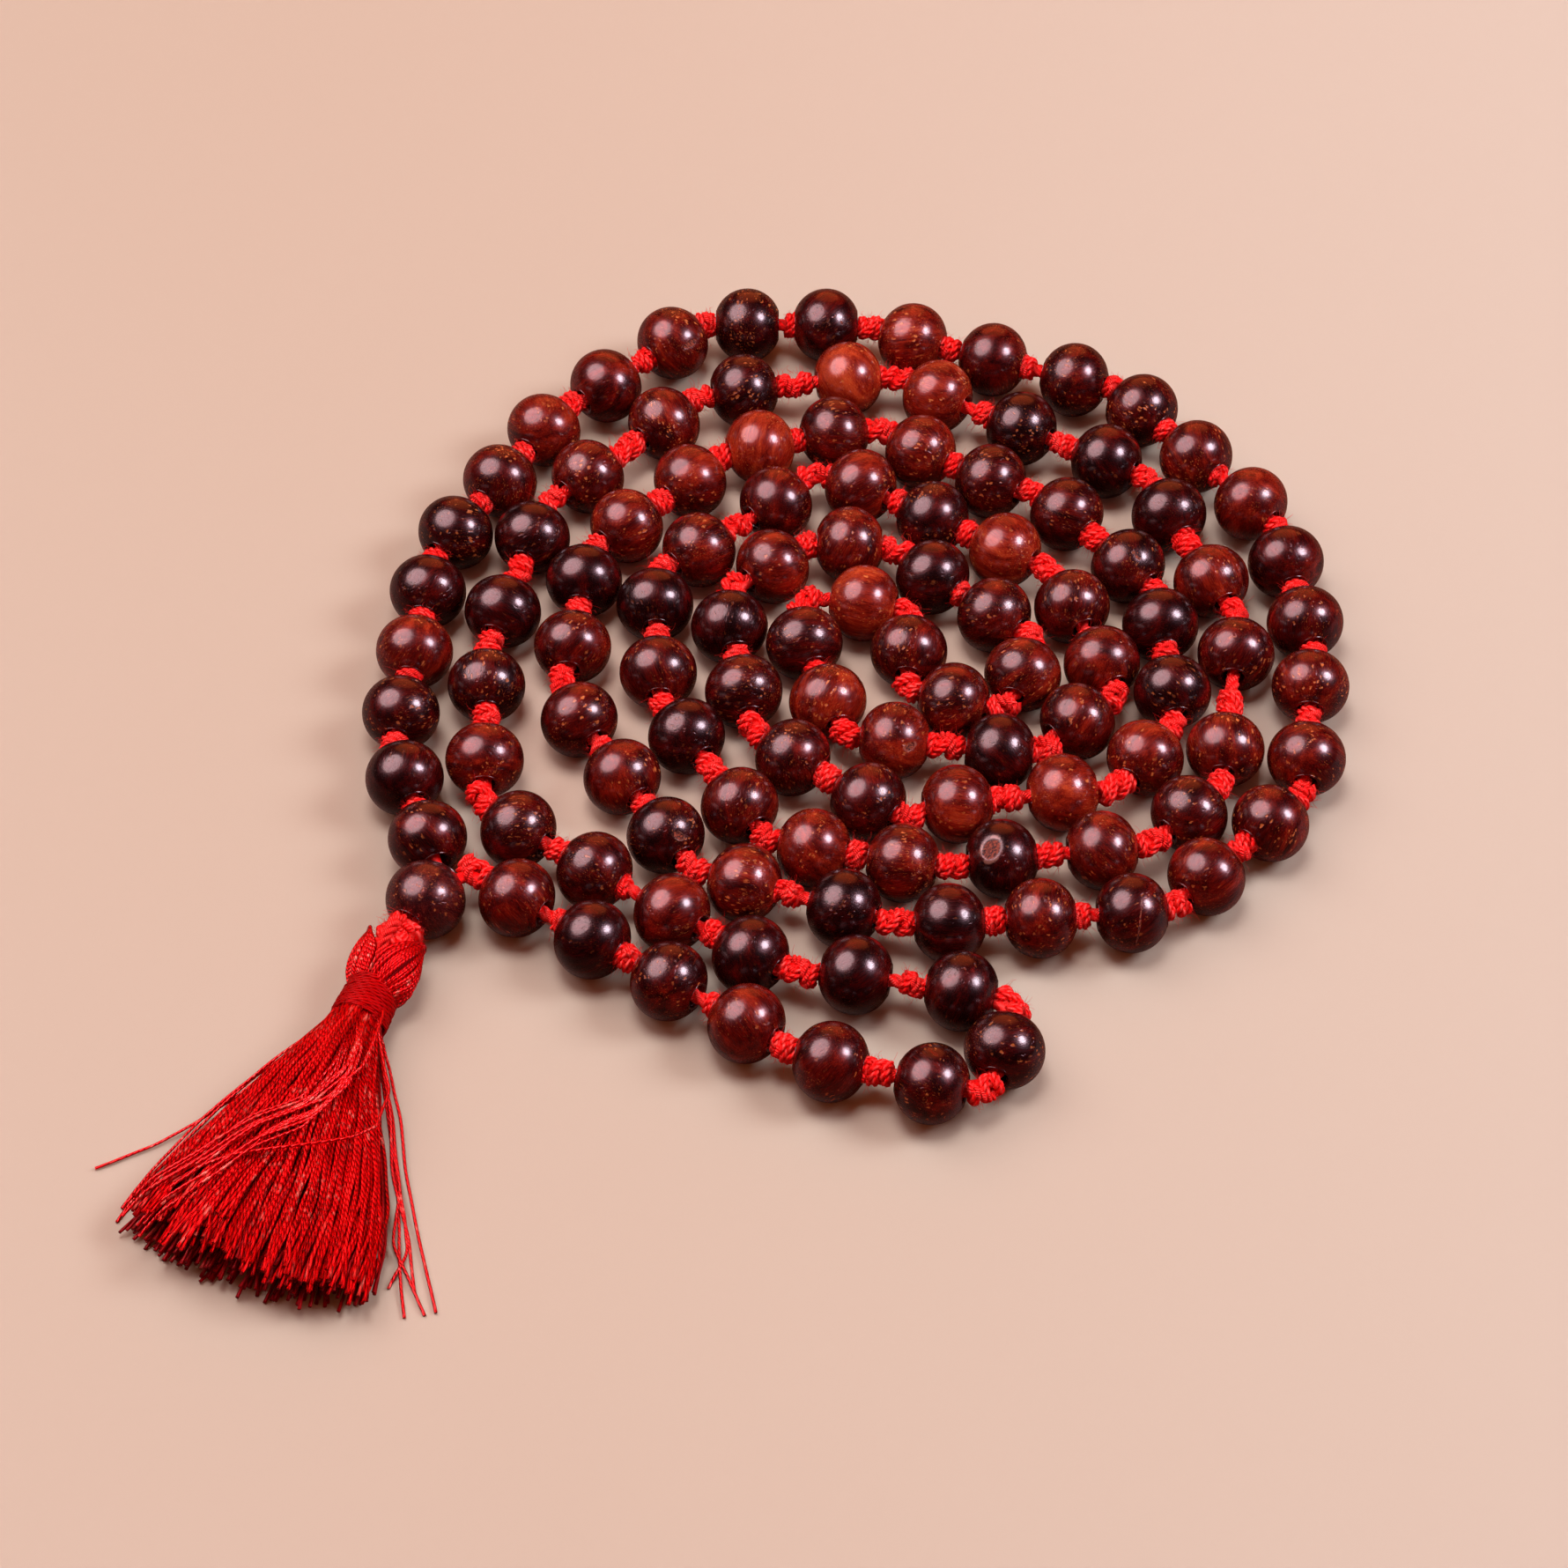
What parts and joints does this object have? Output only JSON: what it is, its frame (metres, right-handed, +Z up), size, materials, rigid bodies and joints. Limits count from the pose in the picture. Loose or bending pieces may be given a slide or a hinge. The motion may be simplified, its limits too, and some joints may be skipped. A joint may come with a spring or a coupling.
{
  "type": "prayer bead strand",
  "caption": "Prayer bead strand laid flat in a double spiral: polished wooden beads knotted on a red cord, with a guru bead and a red silk tassel.",
  "frame": {"origin": "middle of the laid-out strand's bounding box, on the table under the beads", "axes": "+Z up from the table; +Y away from the tassel; the tassel points to -X -Y"},
  "size_m": [0.1226, 0.13, 0.008],
  "materials": {
    "rosewood": "high polish, dark red-brown with reddish streaks and small pores",
    "guru_wood": "high polish, near-black with reddish stripes",
    "cotton_cord": "matte twisted cotton, fuzzy",
    "silk": "shiny twisted rayon or silk thread",
    "binding_thread": "fine wound thread, semi-matte"
  },
  "bodies": {
    "strand": {"stringing_cord": "cotton_cord", "spacer_knots": "cotton_cord", "end_knot": "cotton_cord"},
    "beads_001_002_body": {"beads_001_002": "rosewood"},
    "beads_003_005_body": {"beads_003_005": "rosewood"},
    "beads_006_008_body": {"beads_006_008": "rosewood"},
    "beads_009_010_body": {"beads_009_010": "rosewood"},
    "beads_011_012_body": {"beads_011_012": "rosewood"},
    "beads_013_015_body": {"beads_013_015": "rosewood"},
    "beads_016_018_body": {"beads_016_018": "rosewood"},
    "beads_019_020_body": {"beads_019_020": "rosewood"},
    "beads_021_022_body": {"beads_021_022": "rosewood"},
    "beads_023_024_body": {"beads_023_024": "rosewood"},
    "beads_025_027_body": {"beads_025_027": "rosewood"},
    "beads_028_029_body": {"beads_028_029": "rosewood"},
    "beads_030_032_body": {"beads_030_032": "rosewood"},
    "beads_033_034_body": {"beads_033_034": "rosewood"},
    "beads_035_036_body": {"beads_035_036": "rosewood"},
    "beads_037_038_body": {"beads_037_038": "rosewood"},
    "beads_039_040_body": {"beads_039_040": "rosewood"},
    "beads_041_042_body": {"beads_041_042": "rosewood"},
    "beads_043_044_body": {"beads_043_044": "rosewood"},
    "beads_045_body": {"beads_045": "rosewood"},
    "beads_046_047_body": {"beads_046_047": "rosewood"},
    "beads_048_049_body": {"beads_048_049": "rosewood"},
    "beads_050_051_body": {"beads_050_051": "rosewood"},
    "beads_052_body": {"beads_052": "rosewood"},
    "beads_053_body": {"beads_053": "rosewood"},
    "beads_054_055_body": {"beads_054_055": "rosewood"},
    "beads_056_body": {"beads_056": "rosewood"},
    "beads_057_body": {"beads_057": "rosewood"},
    "beads_058_body": {"beads_058": "rosewood"},
    "beads_059_body": {"beads_059": "rosewood"},
    "beads_060_061_body": {"beads_060_061": "rosewood"},
    "beads_062_063_body": {"beads_062_063": "rosewood"},
    "beads_064_body": {"beads_064": "rosewood"},
    "beads_065_066_body": {"beads_065_066": "rosewood"},
    "beads_067_069_body": {"beads_067_069": "rosewood"},
    "beads_070_071_body": {"beads_070_071": "rosewood"},
    "beads_072_073_body": {"beads_072_073": "rosewood"},
    "beads_074_075_body": {"beads_074_075": "rosewood"},
    "beads_076_077_body": {"beads_076_077": "rosewood"},
    "beads_078_079_body": {"beads_078_079": "rosewood"},
    "beads_080_body": {"beads_080": "rosewood"},
    "beads_081_082_body": {"beads_081_082": "rosewood"},
    "beads_083_084_body": {"beads_083_084": "rosewood"},
    "beads_085_087_body": {"beads_085_087": "rosewood"},
    "beads_088_089_body": {"beads_088_089": "rosewood"},
    "beads_090_091_body": {"beads_090_091": "rosewood"},
    "beads_092_093_body": {"beads_092_093": "rosewood"},
    "beads_094_095_body": {"beads_094_095": "rosewood"},
    "beads_096_099_body": {"beads_096_099": "rosewood"},
    "beads_100_101_body": {"beads_100_101": "rosewood"},
    "beads_102_body": {"beads_102": "rosewood"},
    "beads_103_104_body": {"beads_103_104": "rosewood"},
    "beads_105_108_body": {"beads_105_108": "rosewood"},
    "guru_bead_body": {"guru_bead": "guru_wood"},
    "tassel": {"tassel_head": "silk", "tassel_binding": "binding_thread", "tassel_skirt": "silk"}
  },
  "joints": [
    {"name": "beads_001_002_spin", "type": "hinge", "parent": "strand", "child": "beads_001_002_body", "pos_m": [-0.03393, -0.00647, 0.004], "axis": [-0.3256, 0.9455, 0], "continuous": true},
    {"name": "beads_003_005_spin", "type": "hinge", "parent": "strand", "child": "beads_003_005_body", "pos_m": [-0.03503, 0.01423, 0.004], "axis": [0.1219, 0.9925, 0], "continuous": true},
    {"name": "beads_006_008_spin", "type": "hinge", "parent": "strand", "child": "beads_006_008_body", "pos_m": [-0.02703, 0.03803, 0.004], "axis": [0.515, 0.8572, 0], "continuous": true},
    {"name": "beads_009_010_spin", "type": "hinge", "parent": "strand", "child": "beads_009_010_body", "pos_m": [-0.01253, 0.05513, 0.004], "axis": [0.7431, 0.6691, 0], "continuous": true},
    {"name": "beads_011_012_spin", "type": "hinge", "parent": "strand", "child": "beads_011_012_body", "pos_m": [0.00347, 0.06103, 0.004], "axis": [1, 0, 0], "continuous": true},
    {"name": "beads_013_015_spin", "type": "hinge", "parent": "strand", "child": "beads_013_015_body", "pos_m": [0.02587, 0.05583, 0.004], "axis": [0.9455, -0.3256, 0], "continuous": true},
    {"name": "beads_016_018_spin", "type": "hinge", "parent": "strand", "child": "beads_016_018_body", "pos_m": [0.04717, 0.04153, 0.004], "axis": [0.6293, -0.7771, 0], "continuous": true},
    {"name": "beads_019_020_spin", "type": "hinge", "parent": "strand", "child": "beads_019_020_body", "pos_m": [0.05657, 0.02233, 0.004], "axis": [0.1736, -0.9848, 0], "continuous": true},
    {"name": "beads_021_022_spin", "type": "hinge", "parent": "strand", "child": "beads_021_022_body", "pos_m": [0.05677, 0.00473, 0.004], "axis": [-0.1045, -0.9945, 0], "continuous": true},
    {"name": "beads_023_024_spin", "type": "hinge", "parent": "strand", "child": "beads_023_024_body", "pos_m": [0.04867, -0.01187, 0.004], "axis": [-0.7071, -0.7071, 0], "continuous": true},
    {"name": "beads_025_027_spin", "type": "hinge", "parent": "strand", "child": "beads_025_027_body", "pos_m": [0.02857, -0.02047, 0.004], "axis": [-0.9976, -0.0698, 0], "continuous": true},
    {"name": "beads_028_029_spin", "type": "hinge", "parent": "strand", "child": "beads_028_029_body", "pos_m": [0.00417, -0.01767, 0.004], "axis": [-0.9511, 0.309, 0], "continuous": true},
    {"name": "beads_030_032_spin", "type": "hinge", "parent": "strand", "child": "beads_030_032_body", "pos_m": [-0.01323, -0.00247, 0.004], "axis": [-0.515, 0.8572, 0], "continuous": true},
    {"name": "beads_033_034_spin", "type": "hinge", "parent": "strand", "child": "beads_033_034_body", "pos_m": [-0.01823, 0.01943, 0.004], "axis": [0.1045, 0.9945, 0], "continuous": true},
    {"name": "beads_035_036_spin", "type": "hinge", "parent": "strand", "child": "beads_035_036_body", "pos_m": [-0.01013, 0.03483, 0.004], "axis": [0.7193, 0.6947, 0], "continuous": true},
    {"name": "beads_037_038_spin", "type": "hinge", "parent": "strand", "child": "beads_037_038_body", "pos_m": [0.00457, 0.04393, 0.004], "axis": [0.9703, 0.2419, 0], "continuous": true},
    {"name": "beads_039_040_spin", "type": "hinge", "parent": "strand", "child": "beads_039_040_body", "pos_m": [0.02147, 0.04013, 0.004], "axis": [0.866, -0.5, 0], "continuous": true},
    {"name": "beads_041_042_spin", "type": "hinge", "parent": "strand", "child": "beads_041_042_body", "pos_m": [0.03617, 0.02963, 0.004], "axis": [0.6428, -0.766, 0], "continuous": true},
    {"name": "beads_043_044_spin", "type": "hinge", "parent": "strand", "child": "beads_043_044_body", "pos_m": [0.04267, 0.01333, 0.004], "axis": [0.0872, -0.9962, 0], "continuous": true},
    {"name": "beads_045_spin", "type": "hinge", "parent": "strand", "child": "beads_045_body", "pos_m": [0.03987, 0.00003, 0.004], "axis": [-0.5299, -0.848, 0], "continuous": true},
    {"name": "beads_046_047_spin", "type": "hinge", "parent": "strand", "child": "beads_046_047_body", "pos_m": [0.02597, -0.00527, 0.004], "axis": [-0.9903, -0.1392, 0], "continuous": true},
    {"name": "beads_048_049_spin", "type": "hinge", "parent": "strand", "child": "beads_048_049_body", "pos_m": [0.00787, -0.00277, 0.004], "axis": [-0.7986, 0.6018, 0], "continuous": true},
    {"name": "beads_050_051_spin", "type": "hinge", "parent": "strand", "child": "beads_050_051_body", "pos_m": [-0.00173, 0.01323, 0.004], "axis": [-0.1736, 0.9848, 0], "continuous": true},
    {"name": "beads_052_spin", "type": "hinge", "parent": "strand", "child": "beads_052_body", "pos_m": [0.00197, 0.02593, 0.004], "axis": [0.788, 0.6157, 0], "continuous": true},
    {"name": "beads_053_spin", "type": "hinge", "parent": "strand", "child": "beads_053_body", "pos_m": [0.01007, 0.02903, 0.004], "axis": [0.9998, -0.0175, 0], "continuous": true},
    {"name": "beads_054_055_spin", "type": "hinge", "parent": "strand", "child": "beads_054_055_body", "pos_m": [0.02187, 0.02183, 0.004], "axis": [0.766, -0.6428, 0], "continuous": true},
    {"name": "beads_056_spin", "type": "hinge", "parent": "strand", "child": "beads_056_body", "pos_m": [0.02777, 0.01113, 0.004], "axis": [-0.3256, -0.9455, 0], "continuous": true},
    {"name": "beads_057_spin", "type": "hinge", "parent": "strand", "child": "beads_057_body", "pos_m": [0.02057, 0.00753, 0.004], "axis": [-0.9613, 0.2756, 0], "continuous": true},
    {"name": "beads_058_spin", "type": "hinge", "parent": "strand", "child": "beads_058_body", "pos_m": [0.01607, 0.01423, 0.004], "axis": [0.0698, 0.9976, 0], "continuous": true},
    {"name": "beads_059_spin", "type": "hinge", "parent": "strand", "child": "beads_059_body", "pos_m": [0.01147, 0.02083, 0.004], "axis": [-0.9816, 0.1908, 0], "continuous": true},
    {"name": "beads_060_061_spin", "type": "hinge", "parent": "strand", "child": "beads_060_061_body", "pos_m": [0.00647, 0.01143, 0.004], "axis": [0.2924, -0.9563, 0], "continuous": true},
    {"name": "beads_062_063_spin", "type": "hinge", "parent": "strand", "child": "beads_062_063_body", "pos_m": [0.01977, 0.00153, 0.004], "axis": [0.9903, -0.1392, 0], "continuous": true},
    {"name": "beads_064_spin", "type": "hinge", "parent": "strand", "child": "beads_064_body", "pos_m": [0.03317, 0.00483, 0.004], "axis": [0.7986, 0.6018, 0], "continuous": true},
    {"name": "beads_065_066_spin", "type": "hinge", "parent": "strand", "child": "beads_065_066_body", "pos_m": [0.03457, 0.01653, 0.004], "axis": [-0.342, 0.9397, 0], "continuous": true},
    {"name": "beads_067_069_spin", "type": "hinge", "parent": "strand", "child": "beads_067_069_body", "pos_m": [0.01887, 0.03273, 0.004], "axis": [-0.8572, 0.515, 0], "continuous": true},
    {"name": "beads_070_071_spin", "type": "hinge", "parent": "strand", "child": "beads_070_071_body", "pos_m": [-0.00173, 0.03153, 0.004], "axis": [-0.7771, -0.6293, 0], "continuous": true},
    {"name": "beads_072_073_spin", "type": "hinge", "parent": "strand", "child": "beads_072_073_body", "pos_m": [-0.01003, 0.01603, 0.004], "axis": [0.0523, -0.9986, 0], "continuous": true},
    {"name": "beads_074_075_spin", "type": "hinge", "parent": "strand", "child": "beads_074_075_body", "pos_m": [-0.00403, -0.00167, 0.004], "axis": [0.515, -0.8572, 0], "continuous": true},
    {"name": "beads_076_077_spin", "type": "hinge", "parent": "strand", "child": "beads_076_077_body", "pos_m": [0.01057, -0.01257, 0.004], "axis": [0.9781, -0.2079, 0], "continuous": true},
    {"name": "beads_078_079_spin", "type": "hinge", "parent": "strand", "child": "beads_078_079_body", "pos_m": [0.02997, -0.01247, 0.004], "axis": [0.9945, 0.1045, 0], "continuous": true},
    {"name": "beads_080_spin", "type": "hinge", "parent": "strand", "child": "beads_080_body", "pos_m": [0.04397, -0.00727, 0.004], "axis": [0.7193, 0.6947, 0], "continuous": true},
    {"name": "beads_081_082_spin", "type": "hinge", "parent": "strand", "child": "beads_081_082_body", "pos_m": [0.04897, 0.00753, 0.004], "axis": [0.1392, 0.9903, 0], "continuous": true},
    {"name": "beads_083_084_spin", "type": "hinge", "parent": "strand", "child": "beads_083_084_body", "pos_m": [0.04587, 0.02853, 0.004], "axis": [-0.3907, 0.9205, 0], "continuous": true},
    {"name": "beads_085_087_spin", "type": "hinge", "parent": "strand", "child": "beads_085_087_body", "pos_m": [0.02867, 0.04563, 0.004], "axis": [-0.8829, 0.4695, 0], "continuous": true},
    {"name": "beads_088_089_spin", "type": "hinge", "parent": "strand", "child": "beads_088_089_body", "pos_m": [0.00447, 0.05213, 0.004], "axis": [-0.9877, -0.1564, 0], "continuous": true},
    {"name": "beads_090_091_spin", "type": "hinge", "parent": "strand", "child": "beads_090_091_body", "pos_m": [-0.01373, 0.04253, 0.004], "axis": [-0.7193, -0.6947, 0], "continuous": true},
    {"name": "beads_092_093_spin", "type": "hinge", "parent": "strand", "child": "beads_092_093_body", "pos_m": [-0.02473, 0.02483, 0.004], "axis": [-0.2588, -0.9659, 0], "continuous": true},
    {"name": "beads_094_095_spin", "type": "hinge", "parent": "strand", "child": "beads_094_095_body", "pos_m": [-0.02733, 0.00473, 0.004], "axis": [0.0175, -0.9998, 0], "continuous": true},
    {"name": "beads_096_099_spin", "type": "hinge", "parent": "strand", "child": "beads_096_099_body", "pos_m": [-0.01183, -0.01717, 0.004], "axis": [0.829, -0.5592, 0], "continuous": true},
    {"name": "beads_100_101_spin", "type": "hinge", "parent": "strand", "child": "beads_100_101_body", "pos_m": [0.01537, -0.02847, 0.004], "axis": [0.9816, -0.1908, 0], "continuous": true},
    {"name": "beads_102_spin", "type": "hinge", "parent": "strand", "child": "beads_102_body", "pos_m": [0.02457, -0.03657, 0.004], "axis": [-0.2924, -0.9563, 0], "continuous": true},
    {"name": "beads_103_104_spin", "type": "hinge", "parent": "strand", "child": "beads_103_104_body", "pos_m": [0.01257, -0.03927, 0.004], "axis": [-0.9659, 0.2588, 0], "continuous": true},
    {"name": "beads_105_108_spin", "type": "hinge", "parent": "strand", "child": "beads_105_108_body", "pos_m": [-0.01193, -0.02567, 0.004], "axis": [-0.829, 0.5592, 0], "continuous": true},
    {"name": "guru_bead_spin", "type": "hinge", "parent": "strand", "child": "guru_bead_body", "pos_m": [-0.03243, -0.01817, 0.004], "axis": [0.4695, 0.8829, 0], "continuous": true},
    {"name": "tassel_swing", "type": "hinge", "parent": "strand", "child": "tassel", "pos_m": [-0.03486, -0.02275, 0.004], "axis": [0, 0, 1], "range_deg": [-30, 30]}
  ]
}
